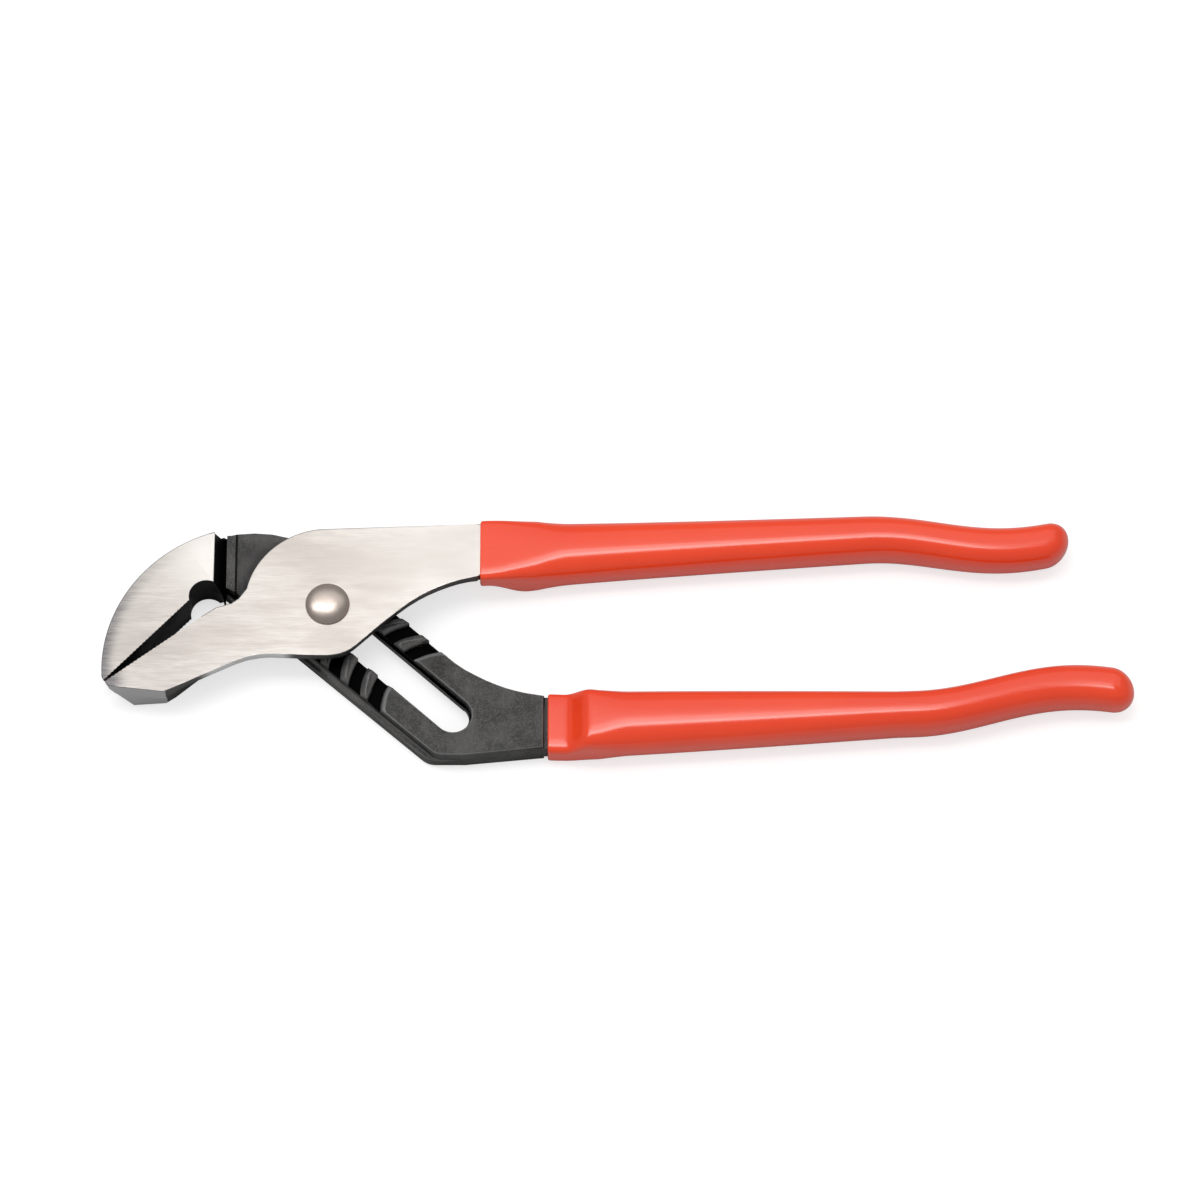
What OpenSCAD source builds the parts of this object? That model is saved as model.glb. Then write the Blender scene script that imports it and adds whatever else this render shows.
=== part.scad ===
// Tongue and groove slip joint pliers: two forged arms, a pivot rivet that
// slides in a slot of the rear arm, and two dipped grips.
// X runs along the handles, Z is the thickness, and the pivot axis is at X = Y = 0.

/* [Arms] */
// Thickness across both arms
head_t = 11.8; // [10:0.1:14]
// Thickness of the front arm over the joint
front_t = 4.5; // [3.5:0.1:5.5]
// Gap between the two arms at the joint
arm_gap = 0.15; // [0.1:0.05:0.3]
// Gap at the jaws and beside the tail
side_gap = 0.4; // [0.3:0.05:0.6]
// Radius of the front arm round the pivot, jaw side
plate_r = 20.6; // [20.3:0.1:21]
// Radius of the front arm round the pivot, lower side
plate_low_r = 13.4; // [12.5:0.1:14]
// Where the front arm's neck enters its grip
neck_x = 37.6; // [36:0.2:40]
// Height of the neck's upper edge at the grip
neck_top = 21.9; // [21:0.1:23]
// Width of the neck at the grip
neck_w = 14.2; // [13:0.1:15]

/* [Slip joint] */
// Number of grooves
grooves = 7; // [5:1:7]
// Distance between two grooves
pitch = 6.65; // [6.3:0.05:6.8]
// Angle of the slot below the X axis
slot_angle = 42; // [41:0.5:43]
// Distance from the slot's middle to the tail's lower edge
tail_low = 12.8; // [12.2:0.1:13.2]
// Distance from the slot's middle to the tail's upper edge
tail_high = 11.2; // [10.5:0.1:11.6]
// Outer radius of the tongue round the pivot
tongue_r = 19.5; // [19:0.1:20]
// Width of the tongue
tongue_w = 2.7; // [2.3:0.1:3]
// Height of the tongue
tongue_h = 1.5; // [1:0.1:1.8]
// Depth of a groove
groove_h = 1.9; // [1.9:0.1:2.3]
// Play of the tongue in its groove, each side
tongue_play = 0.25; // [0.2:0.05:0.3]
// How far the front arm opens
open_angle = 50; // [30:1:50]

/* [Rivet] */
// Radius of the shank
shank_r = 4; // [3.6:0.1:4.2]
// Play of the shank in the front arm
bore_play = 0.05; // [0.03:0.01:0.1]
// Play of the shank in the slot
slot_play = 0.15; // [0.1:0.05:0.3]
// Radius of the domed head
dome_r = 5.45; // [5:0.05:6]
// Height of the domed head
dome_h = 2.3; // [1.8:0.1:2.8]
// Radius of the flat tail
tail_r = 5.6; // [5:0.1:6]
// Thickness of the flat tail
tail_t = 1.6; // [1.2:0.1:2]
// Radius of the washer
washer_r = 6.3; // [5.8:0.1:6.6]
// Thickness of the washer
washer_t = 0.9; // [0.6:0.1:1]
// Gap between pieces that lie on each other
seat_gap = 0.03; // [0.02:0.01:0.06]

/* [Jaws] */
// Distance from the pivot to the jaw tips along X
tip_x = 54.7; // [52:0.1:57]
// Distance of the jaw tips below the pivot
tip_y = 20.3; // [19:0.1:21.5]
// Radius of the upper jaw's back
jaw_back_r = 37.7; // [37:0.1:38.5]
// Distance from the pivot to the upper jaw's step
jaw_step_x = 28.3; // [27.5:0.1:29]
// Radius of the pipe notch
notch_r = 4.3; // [3.8:0.1:4.6]
// Distance from one tooth to the next
tooth_pitch = 1.1; // [0.9:0.1:2]
// Depth of a tooth
tooth_h = 0.16; // [0.1:0.02:0.4]
// How far the rail below the tail's edge stands out
rail_w = 1.4; // [1:0.1:1.8]

/* [Handles] */
// End of the upper grip
upper_end = 183.7; // [170:0.5:186]
// End of the lower grip
lower_end = 198.8; // [195:0.5:201]
// Start of the lower grip
lower_start = 54.4; // [53:0.2:56]
// Thickness of the grips
grip_t = 12.4; // [11.8:0.1:13]
// Thickness of the grips at their ends
grip_end_t = 10.8; // [10:0.1:12]
// Half width of the upper grip where it is widest
upper_wide = 7.9; // [7.5:0.1:8.6]
// Half width of the lower grip where it is widest
lower_wide = 7.9; // [7.6:0.1:9]
// Half width of the grips near their ends
grip_slim = 5.2; // [4.9:0.1:5.4]
// Thickness of the steel inside the grips
core_t = 8; // [7:0.1:8.2]
// Vinyl beside the steel
vinyl_w = 1.5; // [1.2:0.1:1.8]
// Vinyl at the mouth of a grip
lip_w = 0.9; // [0.7:0.05:0.9]
// Depth of the upper handle's finger dip
dip_h = 4.75; // [4:0.05:4.8]
// Height of the lower handle's swell
swell_h = 5.65; // [5:0.05:5.7]

/* [Hidden] */
$fn = 96;
overrun = 1;
rear_t = head_t - front_t - arm_gap;
front_z = rear_t + arm_gap;
travel = (grooves - 1) * pitch;
slot_r = shank_r + slot_play;
block_low = tail_low + side_gap;
mid_z = grip_t / 2;
satin = [0.8, 0.78, 0.76];
black_steel = [0.2, 0.2, 0.21];
red_vinyl = [0.93, 0.25, 0.16];
rivet_steel = [0.62, 0.58, 0.55];

function polar(r, a) = [r * cos(a), r * sin(a)];
function arc(c, r, a0, a1, n) = [for (i = [0:n]) c + polar(r, a0 + (a1 - a0) * i / n)];
function mix(a, b, t) = a + (b - a) * max(0, min(1, t));
function ease(t) = (1 - cos(180 * max(0, min(1, t)))) / 2;
function bump(t) = abs(t) < 1 ? (1 + cos(180 * t)) / 2 : 0;
function turned(p, a) = [p[0] * cos(a) - p[1] * sin(a), p[0] * sin(a) + p[1] * cos(a)];
// A point t along the slot from the pivot and d square to it, upper side positive
function slot_point(t, d) = turned([t, d], -slot_angle);
function flip(list) = [for (i = [len(list) - 1:-1:0]) list[i]];
// Saw teeth from p to q, cut to the left of that way for side 1 and to the right for -1
function teeth(p, q, side) =
    let (n = floor(norm(q - p) / tooth_pitch), run = (q - p) / n, way = run / norm(run))
    [for (i = [0:n - 1]) each [
        p + run * i,
        p + run * (i + tooth_low_share) + side * tooth_h * [-way[1], way[0]]
    ]];
tooth_low_share = 0.5;

// Jaws
tip = [-tip_x, -tip_y];
jaw_center = tip + polar(0.988 * jaw_back_r, 6);
jaw_top_angle = acos((-jaw_step_x - jaw_center[0]) / jaw_back_r);
notch_center = [-jaw_step_x - 0.4 * notch_r, 0.53 * notch_r];
upper_throat = notch_center + polar(notch_r, 195);
lower_gap = side_gap * 0.75;
lower_tip = tip + [0.6 * lower_gap, -lower_gap];
lower_throat_shares = [-0.565, -0.15];
lower_throat = [lower_throat_shares[0] * tip_x, lower_throat_shares[1] * tip_y];
throat_shares = [[-0.503, -0.035], [-0.435, 0.019], [-0.402, 0.085]];
nose_shares = [[-0.975, -1.075], [-0.73, -1.15]];
belly_shares = [[-0.63, -1.03], [-0.52, -0.885], [-0.465, -0.815], [-0.41, -0.745],
                [-0.355, -0.69], [-0.3, -0.663], [-0.26, -0.655]];
low_shares = [[1.34, -0.1], [1.17, -0.244], [1, -0.39], [0.785, -0.59], [0.62, -0.742], [0.53, -0.825], [0.44, -0.893],
              [0.35, -0.945], [0.255, -0.982], [0.15, -1.007], [0.05, -1.02], [-0.13, -1.025], [-0.4, -1.018], [-0.7, -1.005]];
back_shares = [[-0.87, -1.092], [-0.728, -1.074], [-0.684, -0.995], [-0.56, -0.715], [-0.44, -0.443]];
nose_cut_shares = [0.87, 0.995];
function by_tip(shares) = [for (s = shares) [s[0] * tip_x, s[1] * tip_y]];

// Rear arm
strip_x = [-0.895 * jaw_step_x, -0.82 * jaw_step_x];
strip_y = [0.3 * tip_y, tip_y - lip_w / 8];
rail_share = 0.5;
strip_h = 1.1;
root_x_end = mix(-jaw_step_x, strip_x[0], 0.88);
jaw_top = jaw_center[1] + jaw_back_r * sin(jaw_top_angle);
tip_slant = 0.09 * jaw_back_r;
relief_h = 1.3;
bevel_w = 1.55;
bevel_h = 0.9;
slot_step = 0.8;
slot_spare = 1.6;
recess_r = washer_r + 0.5;
recess_h = tail_t + washer_t + 4 * seat_gap;
root_x = lower_start - lip_w;
root_low = 0.95;
root_high = rear_t - 0.95;
web_top = -22.3;
web_low = -36.3;
elbow_r = 5;

// Handles: middle line, half width, section
upper_rise = 0.053;
dip_x = 169;
dip_reach = 36;
lower_mid = -29.4;
lower_rise = 0.0362;
swell_x = 183;
swell_reach = 38;
slim_x = 140;
round_share = 1.05;
ramp_upper = [neck_x + 0.113 * grip_t, neck_x + grip_t];
ramp_lower = [lower_start + 0.306 * grip_t, lower_start + 0.887 * grip_t];
full_upper = neck_x + 1.16 * grip_t;
full_lower = lower_start + 1.016 * grip_t;
neck_mid = neck_top - neck_w / 2;
upper_base = 15.6;
lower_base = -29.8;
upper_taper_share = 0.68;
lower_taper_share = 1.25;
function upper_y(x) = mix(neck_mid, upper_base, (x - neck_x) / (full_upper - neck_x))
    + max(0, x - full_upper) * upper_rise - dip_h * bump((x - dip_x) / dip_reach);
function lower_y(x) = mix(lower_mid, lower_base, (x - lower_start) / (full_lower - lower_start))
    + max(0, x - full_lower) * lower_rise + swell_h * bump((x - swell_x) / swell_reach);
function upper_w(x) = x < full_upper
    ? mix(neck_w / 2 + lip_w, upper_wide, (x - neck_x) / (full_upper - neck_x))
    : mix(upper_wide, grip_slim, pow(min(1, (x - full_upper) / (slim_x - full_upper)), upper_taper_share));
function lower_w(x) = x < full_lower
    ? mix((web_top - web_low) / 2 + lip_w, lower_wide, (x - lower_start) / (full_lower - lower_start))
    : mix(lower_wide, grip_slim, pow(min(1, (x - full_lower) / (slim_x - full_lower)), lower_taper_share));
function span_end(x, slim, last) = grip_t / 2 - (grip_t - grip_end_t) / 2 * ease((x - slim) / (last - slim));
// Lowest and highest z of a grip at x
function upper_z(x) = let (h = span_end(x, slim_x, upper_end), t = ease((x - ramp_upper[0]) / (ramp_upper[1] - ramp_upper[0])))
    [mix(front_z - lip_w, mid_z - h, t), mix(head_t + lip_w * 0.7, mid_z + h, t)];
function lower_z(x) = let (h = span_end(x, slim_x, lower_end), t = ease((x - ramp_lower[0]) / (ramp_lower[1] - ramp_lower[0])))
    [mix(0, mid_z - h, t), mix(rear_t - 0.05, mid_z + h, t)];
settle_upper = full_upper + 8 * lip_w;
settle_lower = full_lower + 8 * lip_w;
run_upper = full_upper + 4 * lip_w;
run_lower = full_lower + 4 * lip_w;
sides = 28;
end_step = 13;
mouth_square = 7;
handle_square = 2.7;
function section(x, y, w, z, n, s) = [for (i = [0:sides - 1])
    let (a = 360 * i / sides, c = cos(a), d = sin(a), h = (z[1] - z[0]) / 2)
    [x, y + s * w * sign(c) * pow(abs(c), 2 / n), (z[0] + z[1]) / 2 + s * h * sign(d) * pow(abs(d), 2 / n)]];
function squareness(x, from, to) = mix(mouth_square, handle_square, ease((x - from) / (to - from)));
// Stations along a grip, close together where its section changes, with a rounded end
function stations(first, full, last, r) = concat(
    [for (i = [0:9]) [first + (full - first) * i / 10, 1]],
    [for (i = [0:19]) [full + (last - r - full) * i / 20, 1]],
    [for (i = [0:6]) [last - r + r * sin(end_step * i), cos(end_step * i)]]);

module sweep(rings) {
    n = len(rings);
    points = [for (r = rings) each r];
    walls = [for (k = [0:n - 2], i = [0:sides - 1])
        let (a = k * sides + i, b = k * sides + (i + 1) % sides) each [[a, b, b + sides], [a, b + sides, a + sides]]];
    start = [for (i = [sides - 1:-1:0]) i];
    end = [for (i = [0:sides - 1]) (n - 1) * sides + i];
    polyhedron(points, concat([start], walls, [end]), convexity = 6);
}

module slab(outline, z0, z1) {
    translate([0, 0, z0]) linear_extrude(z1 - z0) polygon(outline);
}

// A slot from the pivot's first place to t along the tail
module slot_cut(t, r, z0, z1) {
    rotate([0, 0, -slot_angle]) slab(concat(arc([0, 0], r, 90, 270, 24), arc([t, 0], r, -90, 90, 24)), z0, z1);
}

// The half ring on the jaw side of the pivot that clears the tongue
module groove_cut() {
    inner = tongue_r - tongue_w - tongue_play;
    rotate([0, 0, 90 - slot_angle]) rotate_extrude(angle = 180) polygon([
        [inner, rear_t - groove_h], [tongue_r + tongue_play, rear_t - groove_h],
        [tongue_r + tongue_play, rear_t + strip_h + overrun], [inner - bevel_w, rear_t + strip_h + overrun],
        [inner - bevel_w, rear_t], [inner, rear_t - bevel_h]]);
}

// Steel inside a grip, between two x, as an outline in plan
function core_outline(x0, x1, mid, half, grow) = let (n = 24, xs = [for (i = [0:n]) x0 - grow + (x1 + 2 * grow - x0) * i / n])
    concat([for (x = xs) [x, mid(x) - half(x) + vinyl_w - grow]], [for (x = flip(xs)) [x, mid(x) + half(x) - vinyl_w + grow]]);

module upper_core(grow) {
    slab([[neck_x - overrun, neck_top - neck_w - grow], [full_upper, upper_y(full_upper) - neck_w / 2 + 2 * vinyl_w - grow],
          [full_upper, upper_y(full_upper) + neck_w / 2 - vinyl_w + grow], [neck_x - overrun, neck_top + grow]],
         front_z - grow, head_t + grow);
    slab(core_outline(ramp_upper[1], upper_end - grip_slim * 1.3, function(x) upper_y(x), function(x) upper_w(x), grow),
         mid_z - core_t / 2 - grow, mid_z + core_t / 2 + grow);
}

module lower_core(grow) {
    slab([[root_x - overrun, web_low - grow], [full_lower + overrun, lower_y(full_lower) - lower_wide + vinyl_w - grow],
          [full_lower + overrun, lower_y(full_lower) + lower_wide - vinyl_w + grow], [root_x - overrun, web_top + grow]],
         root_low - grow, root_high + grow);
    slab(core_outline(ramp_lower[1] - overrun, lower_end - grip_slim * 1.3, function(x) lower_y(x), function(x) lower_w(x), grow),
         mid_z - core_t / 2 - grow, mid_z + core_t / 2 + grow);
}

front_outline = concat(
    teeth(lower_tip, lower_throat, -1), [lower_throat], by_tip(throat_shares),
    arc([0, 0], plate_r, 168, 97, 18),
    [[neck_x, neck_top], [neck_x, neck_top - neck_w]],
    [for (s = [[0.93, 0.458], [0.87, 0.425], [0.81, 0.378], [0.74, 0.31], [0.67, 0.23], [0.61, 0.148], [0.545, 0.042]])
        [s[0] * neck_x, s[1] * (neck_top - neck_w / 3) * 0.9]],
    [for (s = low_shares) s * plate_low_r],
    flip(by_tip(belly_shares)), flip(by_tip(nose_shares)));

// The lower jaw's outline below the plate, set in along its lower edge
block_outline = concat(
    teeth(lower_tip, lower_throat, -1), [lower_throat], by_tip(throat_shares), [[-plate_low_r, 0]],
    flip(by_tip(back_shares)), by_tip([nose_shares[0]]));

// The part of the front arm that keeps clear of the tail at every opening
module beside_tail() {
    intersection_for (a = [0, -open_angle]) {
        rotate([0, 0, a - slot_angle]) translate([-2 * tip_x, -2 * tip_x - block_low, 0])
            cube([4 * tip_x, 2 * tip_x, head_t]);
    }
}

module front_arm() color(satin) {
    difference() {
        union() {
            slab(front_outline, front_z, head_t);
            intersection() {
                slab(block_outline, side_gap, front_z + overrun);
                beside_tail();
            }
            translate([0, 0, front_z - tongue_h]) rotate([0, 0, 136]) rotate_extrude(angle = 42)
                translate([tongue_r - tongue_w, 0]) square([tongue_w, tongue_h + overrun / 2]);
            upper_core(0);
        }
        translate([0, 0, front_z - overrun]) cylinder(r = shank_r + bore_play, h = front_t + 2 * overrun);
        nose_cut();
    }
}

// Slants the lower jaw's tip away towards its back
module nose_cut() {
    translate([0, overrun, 0]) rotate([90, 0, 0]) linear_extrude(2 * tip_y)
        polygon([[-nose_cut_shares[0] * tip_x, 0], [-nose_cut_shares[1] * tip_x, head_t], [-1.1 * tip_x, head_t], [-1.1 * tip_x, 0]]);
}

upper_jaw = concat(
    teeth(tip, upper_throat, 1), [upper_throat],
    [[-jaw_step_x, notch_center[1]]],
    arc(jaw_center, jaw_back_r, jaw_top_angle, 184, 25));
function tail_outline(low) = concat(
    [slot_point(-tip_x * 0.42, -low), [-jaw_step_x - overrun, notch_center[1] + notch_r / 2],
     [-jaw_step_x - overrun, 0.92 * tip_y]],
    [for (s = [[-0.475, 1.0], [-0.42, 1.035], [-0.34, 1.05], [-0.26, 1.035], [-0.18, 0.985], [-0.09, 0.87], [0.0, 0.71]])
        [s[0] * tip_x, s[1] * tip_y]],
    [slot_point(0.06 * tip_x, tail_high), slot_point(0.5 * tip_x, tail_high)],
    [for (s = [[0.545, -0.588], [0.58, -0.67], [0.625, -0.757], [0.673, -0.83], [0.72, -0.897], [0.767, -0.952], [0.81, -0.997],
               [0.85, -1.03], [0.895, -1.06], [0.94, -1.08]]) [s[0] * lower_start, s[1] * tip_y]],
    [[root_x, web_top], [root_x, web_low], [0.62 * lower_start, web_low - 0.035 * lower_start]],
    arc([0.47 * lower_start + elbow_r * 0.25 + (tail_low - low) * 1.5, web_low - 0.035 * lower_start + elbow_r],
        elbow_r, -88, -132, 5));

module rear_blank() {
    slab(upper_jaw, 0, head_t);
    slab(tail_outline(tail_low), 0, rail_share * rear_t);
    slab(tail_outline(tail_low - rail_w), 0, rear_t);
    slab([[strip_x[0], strip_y[0]], [strip_x[1], strip_y[0] - strip_h], [strip_x[1], strip_y[1]], [strip_x[0], strip_y[1]]],
         rear_t - overrun, rear_t + strip_h);
    slab([[-jaw_step_x - overrun, notch_center[1]], [strip_x[0] - overrun / 8, notch_center[1]],
          [strip_x[0] - overrun / 8, jaw_top - lip_w / 2], [-jaw_step_x - overrun, jaw_top - lip_w / 2]],
         rear_t / 2, head_t);
    lower_core(0);
}

// The relief beside the jaw, with the jaw's foot left as a slope
module relief_cut() {
    translate([0, 2 * tip_y, 0]) rotate([90, 0, 0]) linear_extrude(2 * tip_y + overrun) polygon([
        [-jaw_step_x + overrun / 16, head_t + overrun], [-jaw_step_x + overrun / 16, head_t - overrun / 16],
        [root_x_end, rear_t - relief_h], [strip_x[0], rear_t - relief_h], [strip_x[0], head_t + overrun]]);
}

// Slants the upper jaw's tip away towards its back
module tip_cut() {
    translate([tip[0], tip[1], 0]) rotate([0, 0, 30]) translate([-overrun / 10, 0, 0]) rotate([90, 0, 0]) linear_extrude(2 * tip_y, center = true) polygon([
        [tip_slant * (1 + overrun / head_t), -overrun], [-tip_slant * overrun / head_t, head_t + overrun],
        [-tip_y, head_t + overrun], [-tip_y, -overrun]]);
}

module rear_arm() color(black_steel) {
    difference() {
        difference() {
            rear_blank();
            translate([notch_center[0], notch_center[1], -overrun]) cylinder(r = notch_r, h = head_t + 2 * overrun);
            relief_cut();
            for (k = [0:grooves - 1]) translate(concat(slot_point(k * pitch, 0), 0)) groove_cut();
            slot_cut(travel + slot_spare, recess_r, -overrun, recess_h);
        }
        slot_cut(travel + slot_spare, slot_r, recess_h / 2, head_t);
        translate(concat(polar(0.45 * slot_step, 90 - slot_angle), 0))
            slot_cut(travel + slot_spare, slot_r + slot_step / 2, rear_t - 1.2 * groove_h, head_t);
        tip_cut();
    }
}

module upper_grip() color(red_vinyl) {
    difference() {
        sweep([for (s = stations(neck_x, run_upper, upper_end, grip_slim * round_share))
            section(s[0], upper_y(s[0]), upper_w(s[0]), upper_z(s[0]), squareness(s[0], neck_x, settle_upper), s[1])]);
        upper_core(seat_gap);
    }
}

module lower_grip() color(red_vinyl) {
    difference() {
        sweep([for (s = stations(lower_start, run_lower, lower_end, grip_slim * round_share))
            section(s[0], lower_y(s[0]), lower_w(s[0]), lower_z(s[0]), squareness(s[0], lower_start, settle_lower), s[1])]);
        lower_core(seat_gap);
    }
}

module pivot_rivet() color(rivet_steel) {
    cap_r = (pow(dome_r, 2) + pow(dome_h, 2)) / (2 * dome_h);
    cylinder(r = tail_r, h = tail_t);
    cylinder(r = shank_r, h = head_t + 2 * seat_gap);
    translate([0, 0, head_t + seat_gap]) intersection() {
        cylinder(r = dome_r, h = dome_h + overrun);
        translate([0, 0, dome_h - cap_r]) sphere(r = cap_r);
    }
}

module rivet_washer() color(rivet_steel) {
    translate([0, 0, tail_t + seat_gap]) difference() {
        cylinder(r = washer_r, h = washer_t);
        translate([0, 0, -overrun]) cylinder(r = shank_r + bore_play, h = washer_t + 2 * overrun);
    }
}

front_arm();
rear_arm();
upper_grip();
lower_grip();
pivot_rivet();
rivet_washer();
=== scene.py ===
"""Looks of the tongue and groove slip joint pliers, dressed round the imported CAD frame.

Two forged arms with a ground satin face and dark oxide flanks, two dipped vinyl
grips, a domed nickel rivet and its washer, on a white sweep. The frame is the
CAD's: X along the handles, Y across, Z along the pivot. Lengths are in metres,
and in millimetres in the classes of the grips, the rivet and the studio's camera,
which say so.
"""

from __future__ import annotations

import logging
import math
from dataclasses import dataclass
from enum import Enum
from typing import Union

import bmesh
import bpy
import numpy as np
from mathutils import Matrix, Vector


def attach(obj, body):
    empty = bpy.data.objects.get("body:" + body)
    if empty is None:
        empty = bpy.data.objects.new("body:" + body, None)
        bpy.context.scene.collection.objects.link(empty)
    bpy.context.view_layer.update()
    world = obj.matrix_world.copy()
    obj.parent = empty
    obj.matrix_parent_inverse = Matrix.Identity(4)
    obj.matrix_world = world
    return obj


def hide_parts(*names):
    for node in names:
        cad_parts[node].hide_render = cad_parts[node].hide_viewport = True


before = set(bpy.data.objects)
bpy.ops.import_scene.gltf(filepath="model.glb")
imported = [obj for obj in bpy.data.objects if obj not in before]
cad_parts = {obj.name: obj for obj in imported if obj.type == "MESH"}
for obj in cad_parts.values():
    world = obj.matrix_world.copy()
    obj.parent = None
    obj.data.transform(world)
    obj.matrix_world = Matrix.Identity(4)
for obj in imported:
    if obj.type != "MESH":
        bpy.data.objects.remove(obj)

LOG = logging.getLogger("pliers")
MM = 0.001

# Short names for the hints
Node = bpy.types.Node
Socket = bpy.types.NodeSocket
Inputs = bpy.types.NodeInputs
Outputs = bpy.types.NodeOutputs
Tree = bpy.types.NodeTree
Mesh = bpy.types.Mesh
Material = bpy.types.Material
Piece = bpy.types.Object
Span = tuple[float, float]
Triple = tuple[float, float, float]
Feed = Union[bpy.types.NodeSocket, float]
Paint = Union[bpy.types.NodeSocket, tuple[float, float, float]]

# Sockets of the Mix node when it mixes colours, and the Noise node's roughness
MIX_SHARE, MIX_A, MIX_B, MIX_RESULT = 0, 6, 7, 2
NOISE_ROUGHNESS = 0.6

# Beyond every coordinate in metres and every part of a normal: a range that ends here is open
FREE = 2.0


class Body(str, Enum):
    """The rigid bodies that pieces ride on."""

    REAR = "rear_lever"
    PIVOT = "pivot"
    FRONT = "front_lever"


class Slot(str, Enum):
    """The record's material slots."""

    FRONT_STEEL = "front_steel"
    REAR_STEEL = "rear_steel"
    VINYL = "grip_vinyl"
    RIVET = "rivet_steel"


def ease(t: np.ndarray) -> np.ndarray:
    """Half a cosine wave from 0 to 1 as t goes from 0 to 1, flat outside."""
    return (1 - np.cos(np.pi * np.clip(t, 0, 1))) / 2


def bump(t: np.ndarray) -> np.ndarray:
    """A cosine hill: 1 at t = 0, 0 at t = 1 and beyond on both sides."""
    return np.where(np.abs(t) < 1, (1 + np.cos(np.pi * t)) / 2, 0)


def mix(a: float, b: float, t: np.ndarray) -> np.ndarray:
    """From a to b in a straight line as t goes from 0 to 1, flat outside."""
    return a + (b - a) * np.clip(t, 0, 1)


def grey(level: float) -> Triple:
    """A neutral colour."""
    return level, level, level


def shade_smooth(mesh: Mesh) -> None:
    """Shades every face of a mesh smooth."""
    mesh.polygons.foreach_set("use_smooth", np.ones(len(mesh.polygons), bool))


def tube_mesh(name: str, rings: np.ndarray) -> Mesh:
    """Makes a closed shell of rings of points, with a fan over each end.

    Args:
        name: the mesh's name.
        rings: (n, m, 3) points; ring by ring along the piece, turning so that faces point out.

    Returns:
        The mesh, smooth shaded.
    """
    n, m, _ = rings.shape
    ends = np.stack([rings[0].mean(0), rings[-1].mean(0)])
    points = np.concatenate([rings.reshape(-1, 3), ends])
    k, i = np.meshgrid(np.arange(n - 1), np.arange(m), indexing="ij")
    a = k * m + i
    b = k * m + (i + 1) % m
    quads = np.stack([a, b, b + m, a + m], -1).reshape(-1, 4)
    around = np.arange(m)
    after = (around + 1) % m
    last_ring = (n - 1) * m
    first = np.stack([np.full(m, n * m), after, around], -1)
    last = np.stack([np.full(m, n * m + 1), last_ring + around, last_ring + after], -1)
    mesh = bpy.data.meshes.new(name)
    mesh.from_pydata(points.tolist(), [], quads.tolist() + first.tolist() + last.tolist())
    shade_smooth(mesh)
    mesh.update()
    return mesh


def lathe_rings(profile: np.ndarray, sides: int) -> np.ndarray:
    """Turns a profile round the pivot axis: x = r cos a, y = r sin a, z = h.

    Args:
        profile: (n, 2) points of radius and height.
        sides: how many points go round.

    Returns:
        (n, sides, 3) points, one ring for each point of the profile.
    """
    a = np.linspace(0, 2 * np.pi, sides, endpoint=False)
    r, h = profile[:, 0, None], profile[:, 1, None]
    return np.stack([r * np.cos(a), r * np.sin(a), h + 0 * a], -1)


def place(mesh: Mesh, finish: Material, body: Body, node: str) -> Piece:
    """Puts a mesh in the scene in place of a CAD node.

    Args:
        mesh: the piece's mesh, in the row frame.
        finish: its material.
        body: the body it rides on.
        node: the CAD node it stands for.

    Returns:
        The new object.
    """
    piece = bpy.data.objects.new(mesh.name, mesh)
    bpy.context.scene.collection.objects.link(piece)
    mesh.materials.clear()
    mesh.materials.append(finish)
    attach(piece, body.value)
    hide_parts(node)
    LOG.info("%s: %d faces", piece.name, len(mesh.polygons))
    return piece


@dataclass(frozen=True)
class Noise:
    """Fractal noise on Object coordinates.

    Attributes:
        scale: cells in a metre.
        stretch: the coordinates' factors along X, Y and Z, small where the grain is long.
        detail: octaves.
        turn: the pattern's turn about Z, in radians.
    """

    scale: float
    stretch: Triple = (1.0, 1.0, 1.0)
    detail: float = 3.0
    turn: float = 0.0


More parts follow.
